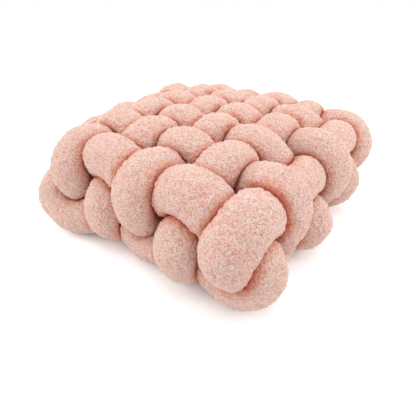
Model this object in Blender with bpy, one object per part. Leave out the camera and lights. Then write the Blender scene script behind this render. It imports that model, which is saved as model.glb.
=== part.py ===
"""Square knotted floor cushion: twelve stuffed fleece tubes woven six by six, in metres."""
import math

import bpy
import numpy as np

# Weave: as many tubes each way, how far apart their axes lie, and how thick a free tube is.
COUNT = 6
PITCH = 0.0690
TUBE_RADIUS = 0.0330

# Heights: the lowest axis, the rise from one axis to the next at a crossing, and what the
# cushion's edge loses at the top and gains at the bottom.
FOOT_HEIGHT = 0.0250
AXIS_STEP = 0.0392
EDGE_DROOP = 0.0095
EDGE_LIFT = 0.0025

# Edge: how far a wrap's axis passes the last crossing, and how the outer tubes draw in at the
# top and spread at the bottom.
WRAP_REACH = 0.0295
UPPER_INSET = 0.0038
LOWER_SPREAD = 0.0054

# Crossings that sag, as {(number along x, number along y): sag of the stack's top}.
SAGS = {
    (1, 3): 0.026,
    (1, 5): 0.008,
    (6, 2): 0.022,
    (6, 3): 0.012,
    (6, 4): 0.014,
    (6, 6): 0.022,
    (5, 6): 0.005,
    (4, 6): 0.005,
}

# Tubes that miss the rounded corner, as {(direction, number): (first crossing, last crossing)}.
SPANS = {("x", 6): (2, 6), ("y", 1): (1, 5)}

# Stretches pushed out of line, as {(direction, number, crossing, place): (along, across, up)}.
SHIFTS = {
    ("x", 3, 1, "wrap"): (0.000, 0.000, 0.007),
    ("x", 4, 1, "wrap"): (-0.004, 0.000, -0.007),
    ("x", 5, 1, "wrap"): (-0.005, 0.000, 0.000),
    ("y", 1, 3, "lower"): (0.000, -0.009, 0.000),
    ("y", 2, 1, "wrap"): (0.009, 0.000, 0.000),
    ("y", 3, 1, "wrap"): (-0.009, 0.000, -0.003),
    ("y", 3, 1, "lower"): (-0.006, 0.000, 0.000),
    ("y", 5, 1, "wrap"): (-0.008, 0.000, -0.004),
    ("y", 6, 2, "upper"): (0.000, 0.010, 0.008),
    ("y", 1, 5, "wrap"): (0.014, -0.044, -0.010),
    ("y", 1, 5, "lower"): (-0.006, -0.036, 0.000),
}

# Contact: how softly a tube flattens against its neighbour, and the gap that is left.
SOFTNESS = 0.0022
CLEARANCE = 0.0018

# Mesh: rings along one tube, points round it, and samples of an axis that neighbours keep off.
RINGS = 60
SIDES = 12
AXIS_SAMPLES = 260
SELF_REACH = 1.6

FLEECE_COLOR = (0.86, 0.56, 0.46, 1.0)
FLEECE_ROUGHNESS = 0.95


def clear_scene():
    """Remove the objects that the scene starts with."""
    for item in list(bpy.data.objects):
        bpy.data.objects.remove(item, do_unlink=True)


def direction_name(along_x):
    """The letter that a tube's name gives its direction."""
    return "x" if along_x else "y"


def rank_position(rank, level=1.5):
    """Place of tube number rank across the weave; edge tubes move in at the top and out below."""
    middle = (COUNT + 1) / 2
    place = (rank - middle) * PITCH
    if rank in (1, COUNT):
        rise = level / 3
        place += math.copysign(LOWER_SPREAD * (1 - rise) - UPPER_INSET * rise, place)
    return place


def outwardness(rank):
    """How near the edge a tube lies, from 0 in the middle to 1 at the edge."""
    middle = (COUNT + 1) / 2
    return (abs(rank - middle) / (COUNT - middle)) ** 3


def is_over(along_x, rank, crossing):
    """True where this tube lies above the one that it crosses."""
    even = (rank + crossing) % 2 == 0
    return even if along_x else not even


def stack_sag(along_x, rank, crossing):
    """How much lower than the rest the top of the stack of tubes lies at one crossing."""
    x_rank, y_rank = (rank, crossing) if along_x else (crossing, rank)
    return SAGS.get((x_rank, y_rank), 0.0)


def axis_height(along_x, rank, crossing, level):
    """Height of an axis at a crossing, where levels 0 to 3 count the stacked tubes from below."""
    edge = outwardness(rank) + outwardness(crossing)
    lowest = FOOT_HEIGHT + edge * EDGE_LIFT
    highest = FOOT_HEIGHT + 3 * AXIS_STEP - edge * EDGE_DROOP - stack_sag(along_x, rank, crossing)
    return lowest + (highest - lowest) * level / 3


def shifted(knot, along_x, rank, crossing, place):
    """The key point, moved where that stretch of the tube is pushed out of line."""
    shift = SHIFTS.get((direction_name(along_x), rank, crossing, place), (0.0, 0.0, 0.0))
    return tuple(value + change for value, change in zip(knot, shift))


def crossing_knot(along_x, rank, crossing, place):
    """Key point of an axis at a crossing, in the upper or lower layer."""
    level = (2 if place == "upper" else 0) + (1 if is_over(along_x, rank, crossing) else 0)
    knot = (rank_position(crossing, level), rank_position(rank, level),
            axis_height(along_x, rank, crossing, level))
    return shifted(knot, along_x, rank, crossing, place)


def wrap_knot(along_x, rank, crossing, outward):
    """Key point of an axis where it turns down round the cushion's edge."""
    level = 2 if is_over(along_x, rank, crossing) else 1
    knot = (rank_position(crossing, level) + outward * WRAP_REACH, rank_position(rank, level),
            axis_height(along_x, rank, crossing, level))
    return shifted(knot, along_x, rank, crossing, "wrap")


def axis_knots(along_x, rank):
    """Key points of one tube's axis, as rows of distance along it, across it and height."""
    first, last = SPANS.get((direction_name(along_x), rank), (1, COUNT))
    ranks = range(first, last + 1)
    knots = [crossing_knot(along_x, rank, crossing, "upper") for crossing in ranks]
    knots.append(wrap_knot(along_x, rank, last, 1))
    knots.extend(crossing_knot(along_x, rank, crossing, "lower") for crossing in reversed(ranks))
    knots.append(wrap_knot(along_x, rank, first, -1))
    return np.array(knots)


def smooth_loop(knots, samples):
    """Evenly spaced points on a closed centripetal Catmull-Rom curve through the knots."""
    total = len(knots)
    fine = []
    for index in range(total):
        p0, p1, p2, p3 = (knots[(index + shift) % total] for shift in (-1, 0, 1, 2))
        t1 = math.sqrt(np.linalg.norm(p1 - p0))
        t2 = t1 + math.sqrt(np.linalg.norm(p2 - p1))
        t3 = t2 + math.sqrt(np.linalg.norm(p3 - p2))
        t = np.linspace(t1, t2, 40, endpoint=False)[:, None]
        a1 = (t1 - t) / t1 * p0 + t / t1 * p1
        a2 = (t2 - t) / (t2 - t1) * p1 + (t - t1) / (t2 - t1) * p2
        a3 = (t3 - t) / (t3 - t2) * p2 + (t - t2) / (t3 - t2) * p3
        b1 = (t2 - t) / t2 * a1 + t / t2 * a2
        b2 = (t3 - t) / (t3 - t1) * a2 + (t - t1) / (t3 - t1) * a3
        fine.append((t2 - t) / (t2 - t1) * b1 + (t - t1) / (t2 - t1) * b2)
    fine = np.concatenate(fine)
    lengths = np.linalg.norm(np.roll(fine, -1, axis=0) - fine, axis=1)
    travel = np.concatenate([[0.0], np.cumsum(lengths)])
    closed = np.vstack([fine, fine[:1]])
    wanted = np.linspace(0.0, travel[-1], samples, endpoint=False)
    columns = [np.interp(wanted, travel, closed[:, axis]) for axis in range(closed.shape[1])]
    return np.stack(columns, axis=1)


def axis_points(along_x, rank, samples):
    """Points of one tube's axis in space."""
    points = smooth_loop(axis_knots(along_x, rank), samples)
    return points if along_x else points[:, [1, 0, 2]]


def soft_minimum(free, pressed):
    """Smaller of two radii, rounded where they are nearly equal."""
    low = np.minimum(free, pressed)
    high = np.maximum(free, pressed)
    return low - SOFTNESS * np.log1p(np.exp((low - high) / SOFTNESS))


def pressed_radius(center, directions, obstacles):
    """How far the tube reaches in each direction before it meets halfway what presses on it."""
    offsets = obstacles - center
    squared = np.einsum("ij,ij->i", offsets, offsets)
    facing = directions @ offsets.T
    limit = np.where(facing > 1e-6, squared / (2 * np.maximum(facing, 1e-6)), np.inf)
    return limit.min(axis=1) - CLEARANCE


def tube_rings(along_x, rank, axes):
    """Rings of points round one tube, flattened by its neighbours and by the floor."""
    axis = axis_points(along_x, rank, RINGS)
    tangents = np.roll(axis, -1, axis=0) - np.roll(axis, 1, axis=0)
    tangents /= np.linalg.norm(tangents, axis=1)[:, None]
    across = np.array([0.0, 1.0, 0.0]) if along_x else np.array([1.0, 0.0, 0.0])
    others = np.concatenate([points for key, points in axes.items() if key != (along_x, rank)])
    own = axes[(along_x, rank)]
    own_step = np.linalg.norm(own[1] - own[0])
    angles = np.arange(SIDES) * 2 * math.pi / SIDES
    rings = []
    for index, center in enumerate(axis):
        normal = np.cross(tangents[index], across)
        normal /= np.linalg.norm(normal)
        side = np.cross(normal, tangents[index])
        directions = np.outer(np.cos(angles), side) + np.outer(np.sin(angles), normal)
        place = int(round(index * AXIS_SAMPLES / RINGS))
        apart = np.abs((np.arange(AXIS_SAMPLES) - place + AXIS_SAMPLES // 2) % AXIS_SAMPLES
                       - AXIS_SAMPLES // 2) * own_step
        obstacles = np.concatenate([others, own[apart > SELF_REACH * PITCH]])
        free = np.full(SIDES, TUBE_RADIUS)
        radius = soft_minimum(free, pressed_radius(center, directions, obstacles))
        down = np.maximum(-directions[:, 2], 1e-6)
        radius = np.minimum(radius, center[2] / down)
        rings.append(center + directions * radius[:, None])
    return np.array(rings)


def loop_mesh(name, rings):
    """Closed mesh through the rings, with its faces pointing outwards."""
    ring_count, side_count = rings.shape[:2]
    points = rings.reshape(-1, 3)
    faces = []
    for ring in range(ring_count):
        ahead = (ring + 1) % ring_count
        for side in range(side_count):
            beside = (side + 1) % side_count
            faces.append((ring * side_count + side, ring * side_count + beside,
                          ahead * side_count + beside, ahead * side_count + side))
    mesh = bpy.data.meshes.new(name)
    mesh.from_pydata(points.tolist(), [], faces)
    mesh.update()
    return mesh


def signed_volume(mesh):
    """Volume enclosed by the mesh, negative where its faces point inwards."""
    mesh.calc_loop_triangles()
    total = 0.0
    for triangle in mesh.loop_triangles:
        a, b, c = (mesh.vertices[v].co for v in triangle.vertices)
        total += a.dot(b.cross(c)) / 6
    return total


def fleece_material(name):
    """Matt fleece in the cushion's pale salmon."""
    material = bpy.data.materials.new(name)
    material.use_nodes = True
    shader = material.node_tree.nodes["Principled BSDF"]
    shader.inputs["Base Color"].default_value = FLEECE_COLOR
    shader.inputs["Roughness"].default_value = FLEECE_ROUGHNESS
    return material


def add_tube(along_x, rank, rings):
    """One stuffed tube as its own object."""
    name = f"tube_{direction_name(along_x)}{rank}"
    mesh = loop_mesh(name, rings)
    if signed_volume(mesh) < 0:
        mesh.flip_normals()
    mesh.shade_smooth()
    mesh.materials.append(fleece_material(f"fleece_{name}"))
    tube = bpy.data.objects.new(name, mesh)
    bpy.context.scene.collection.objects.link(tube)
    return tube


def main():
    """Weave the cushion."""
    clear_scene()
    keys = [(along_x, rank) for along_x in (True, False) for rank in range(1, COUNT + 1)]
    axes = {key: axis_points(*key, AXIS_SAMPLES) for key in keys}
    tubes = {key: tube_rings(*key, axes) for key in keys}
    points = np.concatenate([rings.reshape(-1, 3) for rings in tubes.values()])
    center = (points.min(axis=0) + points.max(axis=0)) / 2
    center[2] = 0.0
    for key in keys:
        add_tube(*key, tubes[key] - center)


main()
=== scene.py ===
"""A knotted floor cushion: twelve stuffed rings of curly fleece woven through each other."""

import logging
import math
from dataclasses import dataclass, field
from enum import Enum

import bpy
import numpy as np
from mathutils import Matrix, Vector
from mathutils.bvhtree import BVHTree


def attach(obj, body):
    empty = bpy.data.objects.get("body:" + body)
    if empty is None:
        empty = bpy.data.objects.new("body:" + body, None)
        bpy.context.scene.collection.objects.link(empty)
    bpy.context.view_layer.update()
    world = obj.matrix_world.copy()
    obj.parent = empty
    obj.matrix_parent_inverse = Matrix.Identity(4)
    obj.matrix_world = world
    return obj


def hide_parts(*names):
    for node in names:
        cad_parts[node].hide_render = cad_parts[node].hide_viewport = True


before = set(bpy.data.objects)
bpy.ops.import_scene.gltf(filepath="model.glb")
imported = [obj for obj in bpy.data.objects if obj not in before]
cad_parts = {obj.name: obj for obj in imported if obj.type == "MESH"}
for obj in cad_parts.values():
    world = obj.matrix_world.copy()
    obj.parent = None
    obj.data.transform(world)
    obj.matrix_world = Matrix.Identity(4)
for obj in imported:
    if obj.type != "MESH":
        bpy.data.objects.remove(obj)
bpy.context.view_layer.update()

LOG = logging.getLogger("knotted_cushion")

Color = tuple[float, float, float, float]
Point = tuple[float, float, float]
UP = Vector((0.0, 0.0, 1.0))
HAIR = 0.00001
WHITE: Color = (1.0, 1.0, 1.0, 1.0)


def select_only(piece: bpy.types.Object) -> None:
    """Leave one object selected and active, so that an operator acts on it alone."""
    bpy.ops.object.select_all(action="DESELECT")
    piece.select_set(True)
    bpy.context.view_layer.objects.active = piece


def vertex_places(mesh: bpy.types.Mesh) -> np.ndarray:
    """Read where the vertices of a mesh are.

    Args:
        mesh: The mesh that is read.

    Returns:
        One row of three coordinates for each vertex, in metres.
    """
    places = np.zeros(len(mesh.vertices) * 3, np.float32)
    mesh.vertices.foreach_get("co", places)
    return places.reshape(-1, 3).astype(np.float64)


def vertex_normals(mesh: bpy.types.Mesh) -> np.ndarray:
    """Read the outward directions of a mesh.

    Args:
        mesh: The mesh that is read.

    Returns:
        One unit row for each vertex.
    """
    normals = np.zeros(len(mesh.vertices) * 3, np.float32)
    mesh.vertex_normals.foreach_get("vector", normals)
    return normals.reshape(-1, 3).astype(np.float64)


def move_vertices(mesh: bpy.types.Mesh, places: np.ndarray) -> None:
    """Put the vertices of a mesh at new places.

    Args:
        mesh: The mesh that changes.
        places: One row of three coordinates for each vertex.
    """
    mesh.vertices.foreach_set("co", places.astype(np.float32).ravel())
    mesh.update()


def store_values(mesh: bpy.types.Mesh, name: str, values: np.ndarray) -> None:
    """Keep one number for each vertex as an attribute that a material reads.

    Args:
        mesh: The mesh that carries the attribute.
        name: The attribute's name.
        values: One number for each vertex.
    """
    attribute = mesh.attributes.new(name, "FLOAT", "POINT")
    attribute.data.foreach_set("value", values.astype(np.float32))


def faces_above(tree: BVHTree, place: Vector) -> int:
    """Count the faces straight above a place, an odd number where it is inside a closed solid.

    Args:
        tree: The solids' faces.
        place: Where the count starts.

    Returns:
        The number of faces.
    """
    count = 0
    spot = tree.ray_cast(place, UP)[0]
    while spot is not None:
        count += 1
        spot = tree.ray_cast(spot + UP * HAIR, UP)[0]
    return count


def height_over(tree: BVHTree, place: Vector) -> tuple[float, Vector]:
    """Measure how far a place stands outside closed solids.

    Args:
        tree: The solids' faces.
        place: The place that is measured.

    Returns:
        The distance, below zero inside a solid, and the shortest direction out or away.
    """
    spot, outward, _, distance = tree.find_nearest(place)
    inside = (place - spot).dot(outward) < 0.0 and faces_above(tree, place) % 2 == 1
    away = spot - place if inside else place - spot
    direction = away.normalized() if distance > HAIR else outward
    return (-distance if inside else distance), direction


class Pile(Enum):
    """What a ring's mesh tells its material about each place, by the attribute's name."""

    CURL = "curl"
    # How deep a place lies in a gap next to another ring; the material paints shade there by it.
    NOOK = "painted_nook_shade"


@dataclass(frozen=True)
class FleeceFinish:
    """Curly pink fleece: fine curled fibres coloured with painted shade low between the curls and a painted
    highlight on their tops, a soft sheen, and redder, darker painted shade in the gaps between the rings.
    """

    name: str = "curly_fleece"
    # The pile's colours by height: partly the fleece's own uneven tone, partly painted light, with the pale top
    # colour a painted highlight on the curls' tops and the dark root colour painted shade in the low places
    # between them.
    tip_with_painted_highlight: Color = (0.845, 0.735, 0.69, 1.0)
    body: Color = (0.83, 0.545, 0.46, 1.0)
    root: Color = (0.70, 0.31, 0.22, 1.0)
    # Painted shade in the gaps next to the other rings, where shade falls: white where free, then redder and
    # darker deeper in.
    nook_painted_shade_edge: Color = (1.0, 0.60, 0.46, 1.0)
    nook_painted_shade_deep: Color = (1.0, 0.15, 0.05, 1.0)
    nook_painted_shade_middle: float = 0.5
    root_height: float = 0.12
    body_height: float = 0.45
    tip_height: float = 0.78
    roughness: float = 0.95
    gloss: float = 0.1
    sheen: float = 0.5
    sheen_roughness: float = 0.45
    sheen_tint: Color = (1.0, 0.84, 0.79, 1.0)
    scatter: float = 0.3
    scatter_reach: float = 0.012
    scatter_colors: Point = (1.0, 0.3, 0.15)
    bead_share: float = 0.68
    curl_share: float = 0.15
    relief: float = 0.0028
    beads_per_metre: float = 420.0
    bead_edge: float = 0.72
    bead_top: float = 0.12
    stirs_per_metre: float = 240.0
    stir: float = 0.004
    fibres_per_metre: float = 900.0
    fibre_detail: float = 2.0
    fibre_twist: float = 1.0
    fibre_low: float = 0.34
    fibre_high: float = 0.66

    def material(self) -> bpy.types.Material:
        """Build the fleece as shader nodes.

        Returns:
            The material, which every ring shares.
        """
        made = bpy.data.materials.new(self.name)
        made.use_nodes = True
        nodes, links = made.node_tree.nodes, made.node_tree.links
        shader = nodes["Principled BSDF"]
        self.set_surface(shader)
        coordinates = nodes.new("ShaderNodeTexCoord")
        # How deep in a gap between rings each place lies, for the painted shade.
        painted_nook_shade = self.stored(nodes, Pile.NOOK)
        curl = self.stored(nodes, Pile.CURL)

        fibres = self.fibres(nodes, links, coordinates)
        curls = self.beads(nodes, links, coordinates)
        pile = self.blended(nodes, links, self.bead_share, fibres, curls)
        depth = self.blended(nodes, links, self.curl_share, pile, curl)

        # The pile's height turns into colour: painted shade in the low places between the curls, a painted
        # highlight on their tops.
        heights = ((self.root_height, self.root), (self.body_height, self.body),
                   (self.tip_height, self.tip_with_painted_highlight))
        pile_color_with_painted_light = self.ramp(nodes, links, depth, heights)
        # Painted shade in the gaps between rings, redder and darker the deeper in, multiplied onto the pile's
        # colour.
        painted_nook_shade_stops = ((0.0, WHITE), (self.nook_painted_shade_middle, self.nook_painted_shade_edge), (1.0, self.nook_painted_shade_deep))
        shade = self.ramp(nodes, links, painted_nook_shade, painted_nook_shade_stops)
        shaded = nodes.new("ShaderNodeMix")
        shaded.data_type = "RGBA"
        shaded.blend_type = "MULTIPLY"
        shaded.inputs[0].default_value = 1.0
        links.new(pile_color_with_painted_light, shaded.inputs[6])
        links.new(shade, shaded.inputs[7])
        links.new(shaded.outputs[2], shader.inputs["Base Color"])

        bump = nodes.new("ShaderNodeBump")
        bump.inputs["Strength"].default_value = 1.0
        bump.inputs["Distance"].default_value = self.relief
        links.new(pile, bump.inputs["Height"])
        links.new(bump.outputs["Normal"], shader.inputs["Normal"])
        return made

    def set_surface(self, shader: bpy.types.Node) -> None:
        """Set what is the same all over the fleece on the shader's own sockets.

        Args:
            shader: The material's Principled BSDF.
        """
        shader.inputs["Roughness"].default_value = self.roughness
        shader.inputs["Specular IOR Level"].default_value = self.gloss
        shader.inputs["Sheen Weight"].default_value = self.sheen
        shader.inputs["Sheen Roughness"].default_value = self.sheen_roughness
        shader.inputs["Sheen Tint"].default_value = self.sheen_tint
        shader.inputs["Subsurface Weight"].default_value = self.scatter
        shader.inputs["Subsurface Radius"].default_value = self.scatter_colors
        shader.inputs["Subsurface Scale"].default_value = self.scatter_reach

    def stored(self, nodes: bpy.types.Nodes, pile: Pile) -> bpy.types.NodeSocket:
        """Read one of the mesh's attributes.

        Args:
            nodes: The material's nodes.
            pile: Which attribute it is.

        Returns:
            The socket that holds the value.
        """
        reader = nodes.new("ShaderNodeAttribute")
        reader.attribute_name = pile.value
        return reader.outputs["Fac"]

    def blended(self, nodes: bpy.types.Nodes, links: bpy.types.NodeLinks, share: float,
                first: bpy.types.NodeSocket, second: bpy.types.NodeSocket) -> bpy.types.NodeSocket:
        """Blend two values.

        Args:
            nodes: The material's nodes.
            links: The material's links.
            share: How much of the second value there is.
            first: The socket of the first value.
            second: The socket of the second value.

        Returns:
            The socket that holds the blend.
        """
        blend = nodes.new("ShaderNodeMix")
        blend.data_type = "FLOAT"
        blend.inputs[0].default_value = share
        links.new(first, blend.inputs[2])
        links.new(second, blend.inputs[3])
        return blend.outputs[0]

    def ramp(self, nodes: bpy.types.Nodes, links: bpy.types.NodeLinks, value: bpy.types.NodeSocket,
             stops: tuple[tuple[float, Color], ...]) -> bpy.types.NodeSocket:
        """Turn a value into a colour.

        Args:
            nodes: The material's nodes.
            links: The material's links.
            value: The socket that holds the value.
            stops: Three places from low to high, each with its colour.

        Returns:
            The socket that holds the colour.
        """
        ramp = nodes.new("ShaderNodeValToRGB")
        low, middle, high = stops
        first, last = ramp.color_ramp.elements
        first.position, first.color = low
        last.position, last.color = high
        ramp.color_ramp.elements.new(middle[0]).color = middle[1]
        links.new(value, ramp.inputs["Fac"])
        return ramp.outputs["Color"]

    def beads(self, nodes: bpy.types.Nodes, links: bpy.types.NodeLinks,
              coordinates: bpy.types.Node) -> bpy.types.NodeSocket:
        """Add the tips of the curls as rounded beads of uneven shape.

        Args:
            nodes: The material's nodes.
            links: The material's links.
            coordinates: The node that gives the place on the piece.

        Returns:
            The socket that holds the height of the beads, from 0 to 1.
        """
        stir = nodes.new("ShaderNodeTexNoise")
        stir.inputs["Scale"].default_value = self.stirs_per_metre
        links.new(coordinates.outputs["Object"], stir.inputs["Vector"])
        shift = nodes.new("ShaderNodeVectorMath")
        shift.operation = "MULTIPLY_ADD"
        links.new(stir.outputs["Color"], shift.inputs[0])
        shift.inputs[1].default_value = (self.stir, self.stir, self.stir)
        links.new(coordinates.outputs["Object"], shift.inputs[2])
        cells = nodes.new("ShaderNodeTexVoronoi")
        cells.inputs["Scale"].default_value = self.beads_per_metre
        links.new(shift.outputs["Vector"], cells.inputs["Vector"])
        height = nodes.new("ShaderNodeMapRange")
        height.inputs["From Min"].default_value = self.bead_edge
        height.inputs["From Max"].default_value = self.bead_top
        links.new(cells.outputs["Distance"], height.inputs["Value"])
        return height.outputs["Result"]

    def fibres(self, nodes: bpy.types.Nodes, links: bpy.types.NodeLinks,
               coordinates: bpy.types.Node) -> bpy.types.NodeSocket:
        """Add the curled fibres as a fine twisted noise, spread over the whole range from 0 to 1.

        Args:
            nodes: The material's nodes.
            links: The material's links.
            coordinates: The node that gives the place on the piece.

        Returns:
            The socket that holds the value.
        """
        noise = nodes.new("ShaderNodeTexNoise")
        noise.inputs["Scale"].default_value = self.fibres_per_metre
        noise.inputs["Detail"].default_value = self.fibre_detail
        noise.inputs["Distortion"].default_value = self.fibre_twist
        links.new(coordinates.outputs["Object"], noise.inputs["Vector"])
        spread = nodes.new("ShaderNodeMapRange")
        spread.inputs["From Min"].default_value = self.fibre_low
        spread.inputs["From Max"].default_value = self.fibre_high
        links.new(noise.outputs["Fac"], spread.inputs["Value"])
        return spread.outputs["Result"]


@dataclass
class StuffedRing:
    """One closed ring of fleece that swells against the rings it crosses, with lengths in metres."""

    node: str
    finish: bpy.types.Material
    merge_reach: float = 0.00002
    voxel: float = 0.0054
    slack: float = 0.0015
    plump: float = 0.006
    free_swell: float = 0.0006
    near_swell: float = 0.0045
    near_reach: float = 0.024
    share_of_gap: float = 0.48
    least_move: float = 1e-9
    # Where the painted shade is deepest next to another ring, and how far from it the painted shade begins.
    painted_shade_near: float = 0.004
    painted_shade_far: float = 0.019
    pressure: float = 4.0
    frames: int = 20
    steps: int = 2
    lump_depth: float = 0.003
    lump_size: float = 0.05
    curl_depth: float = 0.0052
    curl_size: float = 0.0036
    clearance: float = 0.0004
    clear_reach: float = 0.008
    clear_rounds: int = 4
    curl_percentiles: tuple[int, int] = (4, 96)
    fill: float = 0.85

    def build(self, own: BVHTree, neighbours: BVHTree) -> bpy.types.Object:
        """Make the ring from its solid, swollen, subdivided and covered with curls.

        Args:
            own: The faces of the ring's own solid.
            neighbours: The faces of all the other rings' solids.

        Returns:
            The finished piece.
        """
        piece = self.copy_of_solid()
        self.subdivide(piece)
        self.remesh(piece)
        self.swell(piece, neighbours)
        self.subdivide(piece)
        self.raise_curls(piece)
        self.settle(piece, own, neighbours)
        piece.data.materials.clear()
        piece.data.materials.append(self.finish)
        for polygon in piece.data.polygons:
            polygon.use_smooth = True
        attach(piece, "root")
        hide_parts(self.node)
        return piece

    def copy_of_solid(self) -> bpy.types.Object:
        """Copy the solid's mesh into a new object and merge its loose corners.

        Returns:
            The new object, still without a finish.
        """
        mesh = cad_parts[self.node].data.copy()
        piece = bpy.data.objects.new("fleece_" + self.node, mesh)
        bpy.context.scene.collection.objects.link(piece)
        select_only(piece)
        bpy.ops.object.mode_set(mode="EDIT")
        bpy.ops.mesh.select_all(action="SELECT")
        bpy.ops.mesh.remove_doubles(threshold=self.merge_reach)
        bpy.ops.mesh.normals_make_consistent(inside=False)
        bpy.ops.object.mode_set(mode="OBJECT")
        return piece

    def apply(self, piece: bpy.types.Object, modifier: bpy.types.Modifier) -> None:
        """Apply one modifier of a piece."""
        select_only(piece)
        bpy.ops.object.modifier_apply(modifier=modifier.name)

    def remesh(self, piece: bpy.types.Object) -> None:
        """Replace the mesh by an even net of small squares.

        Args:
            piece: The ring.
        """
        net = piece.modifiers.new("net", "REMESH")
        net.mode = "VOXEL"
        net.voxel_size = self.voxel
        self.apply(piece, net)

    def swell(self, piece: bpy.types.Object, neighbours: BVHTree) -> None:
        """Push the ring outwards, as far as the cap at each place allows.

        The push is the simulation's result and a fixed amount on top of it. The fixed amount is longer than the
        cap, so the simulation changes the result only a little. The cap is least right beside a neighbour,
        greatest about 9 mm from one, and small again where nothing is near.

        Args:
            piece: The remeshed ring.
            neighbours: The faces of all the other rings' solids.
        """
        mesh = piece.data
        start = vertex_places(mesh)
        outward = vertex_normals(mesh)
        swollen = self.simulated(piece) + self.plump * outward
        gap = np.array([neighbours.find_nearest(Vector(place))[3] for place in start])
        room = np.maximum(gap - self.slack, 0.0)
        bulge = self.free_swell + self.near_swell * np.maximum(1.0 - room / self.near_reach, 0.0)
        reach = self.slack + np.minimum(bulge, self.share_of_gap * room)
        move = swollen - start
        length = np.maximum(np.linalg.norm(move, axis=1), self.least_move)
        move_vertices(mesh, start + move * (np.minimum(length, reach) / length)[:, None])
        # Painted shade: the closer a place lies to another ring, the more of it the material paints there.
        depth = np.clip((self.painted_shade_far - gap) / (self.painted_shade_far - self.painted_shade_near), 0.0, 1.0)
        store_values(mesh, Pile.NOOK.value, depth * depth)

    def simulated(self, piece: bpy.types.Object) -> np.ndarray:
        """Run the pressure simulation and read its last frame.

        Args:
            piece: The ring, remeshed.

        Returns:
            Where each vertex ends.
        """
        cloth = piece.modifiers.new("cloth", "CLOTH")
        cloth.settings.use_pressure = True
        cloth.settings.uniform_pressure_force = self.pressure
        cloth.settings.effector_weights.gravity = 0.0
        cloth.settings.quality = self.steps
        cloth.collision_settings.use_collision = False
        cloth.point_cache.frame_start = 1
        cloth.point_cache.frame_end = self.frames
        scene = bpy.context.scene
        for number in range(1, self.frames + 1):
            scene.frame_set(number)
        graph = bpy.context.evaluated_depsgraph_get()
        ended = piece.evaluated_get(graph)
        places = vertex_places(ended.data)
        piece.modifiers.remove(cloth)
        scene.frame_set(1)
        return places

    def subdivide(self, piece: bpy.types.Object) -> None:
        """Round the net with one level of subdivision.

        Args:
            piece: The ring.
        """
        finer = piece.modifiers.new("finer", "SUBSURF")
        finer.levels = 1
        finer.render_levels = 1
        self.apply(piece, finer)

    def raise_curls(self, piece: bpy.types.Object) -> None:
        """Push the surface into soft lumps and then into small curls.

        Args:
            piece: The ring.
        """
        self.displace(piece, self.lump_size, self.lump_depth)
        smooth = vertex_places(piece.data)
        outward = vertex_normals(piece.data)
        self.displace(piece, self.curl_size, self.curl_depth)
        # The curls' height is kept for the material, which paints shade in their low places and a highlight on
        # their tops.
        raised = ((vertex_places(piece.data) - smooth) * outward).sum(axis=1)
        low, high = np.percentile(raised, self.curl_percentiles)
        store_values(piece.data, Pile.CURL.value, np.clip((raised - low) / (high - low), 0, 1))

    def settle(self, piece: bpy.types.Object, own: BVHTree, neighbours: BVHTree) -> None:
        """Keep the ring clear of its neighbours and above the floor.

        Args:
            piece: The ring with its curls.
            own: The faces of the ring's own solid.
            neighbours: The faces of all the other rings' solids.
        """
        places = vertex_places(piece.data)
        places = np.array([self.cleared(Vector(place), own, neighbours) for place in places])
        places[:, 2] = np.maximum(places[:, 2], 0.0)
        move_vertices(piece.data, places)

    def cleared(self, place: Vector, own: BVHTree, neighbours: BVHTree) -> Vector:
        """Bring one place back to the ring's own side of the middle of a gap.

        Args:
            place: A place on the ring's surface.
            own: The faces of the ring's own solid.
            neighbours: The faces of all the other rings' solids.

        Returns:
            Where the place may stand.
        """
        for _ in range(self.clear_rounds):
            theirs, outward = height_over(neighbours, place)
            if theirs > self.clear_reach:
                break
            ours, _ = height_over(own, place)
            excess = ours - theirs + self.clearance
            if excess <= 0.0:
                break
            place = place + outward * (excess / 2.0)
        return place

    def displace(self, piece: bpy.types.Object, size: float, depth: float) -> None:
        """Push the surface in and out by a cloudy pattern.

        Args:
            piece: The ring.
            size: The size of the pattern's cells in metres.
            depth: How far it pushes between the pattern's lowest and highest value.
        """
        pattern = bpy.data.textures.new("clouds", "CLOUDS")
        pattern.noise_scale = size
        push = piece.modifiers.new("push", "DISPLACE")
        push.texture = pattern
        push.texture_coords = "LOCAL"
        push.strength = depth
        push.mid_level = 0.5
        self.apply(piece, push)


@dataclass
class KnottedCushion:
    """The whole cushion: six rings one way and six the other."""

    finish: FleeceFinish = field(default_factory=FleeceFinish)

    def build(self) -> list[bpy.types.Object]:
        """Make every ring.

        Returns:
            The finished pieces.
        """
        material = self.finish.material()
        solids = {name: self.faces_of(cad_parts[name]) for name in sorted(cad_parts)}
        made = []
        for name in solids:
            others = self.tree_of([faces for other, faces in solids.items() if other != name])
            own = self.tree_of([solids[name]])
            piece = StuffedRing(name, material).build(own, others)
            LOG.info("%s: %d faces", piece.name, len(piece.data.polygons))
            made.append(piece)
        return made

    def faces_of(self, node: bpy.types.Object) -> tuple[np.ndarray, np.ndarray]:
        """Read one solid's corners and triangles.

        Args:
            node: The solid's object.

        Returns:
            Its corners and its triangles, one row each.
        """
        mesh = node.data
        triangles = np.zeros(len(mesh.polygons) * 3, np.int64)
        mesh.polygons.foreach_get("vertices", triangles)
        return vertex_places(mesh), triangles.reshape(-1, 3)

    def tree_of(self, parts: list[tuple[np.ndarray, np.ndarray]]) -> BVHTree:
        """Put the faces of several solids in one search tree.

        Args:
            parts: The corners and triangles of each solid.

        Returns:
            The tree, which finds the nearest face to a place.
        """
        corners, faces, first = [], [], 0
        for places, triangles in parts:
            corners.append(places)
            faces.append(triangles + first)
            first += len(places)
        return BVHTree.FromPolygons(np.vstack(corners).tolist(), np.vstack(faces).tolist())


@dataclass(frozen=True)
class Softbox:
    """One soft square light: its place and side in metres and its power in watts."""

    name: str
    place: Point
    side: float
    power: float


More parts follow.
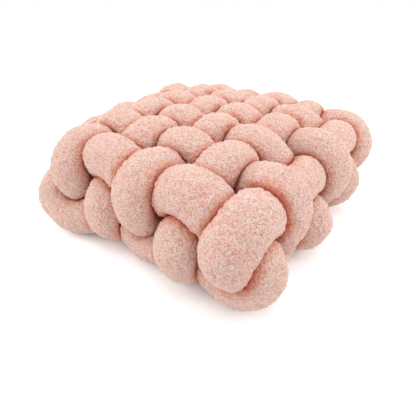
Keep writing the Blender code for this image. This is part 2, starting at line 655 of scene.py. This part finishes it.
@dataclass
class Studio:
    """The white floor, the even world, the soft lights and the camera."""

    floor_side: float = 60.0
    floor_roughness: float = 0.9
    world_strength: float = 1.0
    softboxes: tuple[Softbox, ...] = (
        Softbox("left_softbox", (-0.95, 1.3, 0.9), 1.2, 16.0),
        Softbox("right_softbox", (0.95, -1.3, 0.8), 1.2, 14.0),
        Softbox("top_softbox", (0.2, 0.15, 1.9), 1.6, 22.0),
    )
    lit_place: Point = (0.0, 0.0, 0.08)
    view_transform: str = "Standard"
    image_side: int = 416
    sensor: float = 36.0
    focal_pixels: float = 290.7313
    azimuth: float = -143.7726
    elevation: float = 36.4130
    roll: float = 1.4964
    nearest_seen: float = 0.01
    camera_place: Point = (-0.38565, -0.28201, 0.32065)

    def build(self) -> None:
        """Make the floor, the world, the lights and the camera."""
        self.add_floor()
        self.light_world()
        for softbox in self.softboxes:
            self.add_light(softbox)
        bpy.context.scene.view_settings.view_transform = self.view_transform
        self.add_camera()

    def add_floor(self) -> None:
        """Lay a large plain floor under the cushion."""
        bpy.ops.object.select_all(action="DESELECT")
        bpy.ops.mesh.primitive_plane_add(size=self.floor_side, location=(0.0, 0.0, 0.0))
        floor = bpy.context.active_object
        floor.name = "floor"
        paint = bpy.data.materials.new("pale_floor")
        paint.use_nodes = True
        shader = paint.node_tree.nodes["Principled BSDF"]
        shader.inputs["Base Color"].default_value = WHITE
        shader.inputs["Roughness"].default_value = self.floor_roughness
        floor.data.materials.append(paint)

    def light_world(self) -> None:
        """Light everything evenly from all round."""
        world = bpy.data.worlds.new("studio")
        world.use_nodes = True
        background = world.node_tree.nodes["Background"]
        background.inputs["Color"].default_value = WHITE
        background.inputs["Strength"].default_value = self.world_strength
        bpy.context.scene.world = world

    def add_light(self, softbox: Softbox) -> None:
        """Hang one soft square light that faces the cushion.

        Args:
            softbox: The light's place, side and power.
        """
        bpy.ops.object.select_all(action="DESELECT")
        bpy.ops.object.light_add(type="AREA", location=softbox.place)
        light = bpy.context.active_object
        light.name = softbox.name
        light.data.size = softbox.side
        light.data.energy = softbox.power
        aim = Vector(self.lit_place) - Vector(softbox.place)
        light.rotation_euler = aim.to_track_quat("-Z", "Y").to_euler()

    def add_camera(self) -> None:
        """Set the camera where the picture was taken from."""
        azimuth, elevation = math.radians(self.azimuth), math.radians(self.elevation)
        roll = math.radians(self.roll)
        back = Vector((math.cos(elevation) * math.cos(azimuth),
                       math.cos(elevation) * math.sin(azimuth), math.sin(elevation)))
        side = Vector((-math.sin(azimuth), math.cos(azimuth), 0.0))
        up = back.cross(side)
        right = side * math.cos(roll) + up * math.sin(roll)
        up = back.cross(right)
        turn = Matrix((right, up, back)).transposed()
        bpy.ops.object.select_all(action="DESELECT")
        bpy.ops.object.camera_add(location=self.camera_place, rotation=turn.to_euler())
        camera = bpy.context.active_object
        camera.name = "camera"
        camera.data.sensor_width = self.sensor
        camera.data.lens = self.focal_pixels / self.image_side * self.sensor
        camera.data.clip_start = self.nearest_seen
        bpy.context.scene.camera = camera


def main() -> None:
    """Build the studio and the cushion."""
    logging.basicConfig(level=logging.INFO)
    Studio().build()
    KnottedCushion().build()


if __name__ == "__main__":
    main()
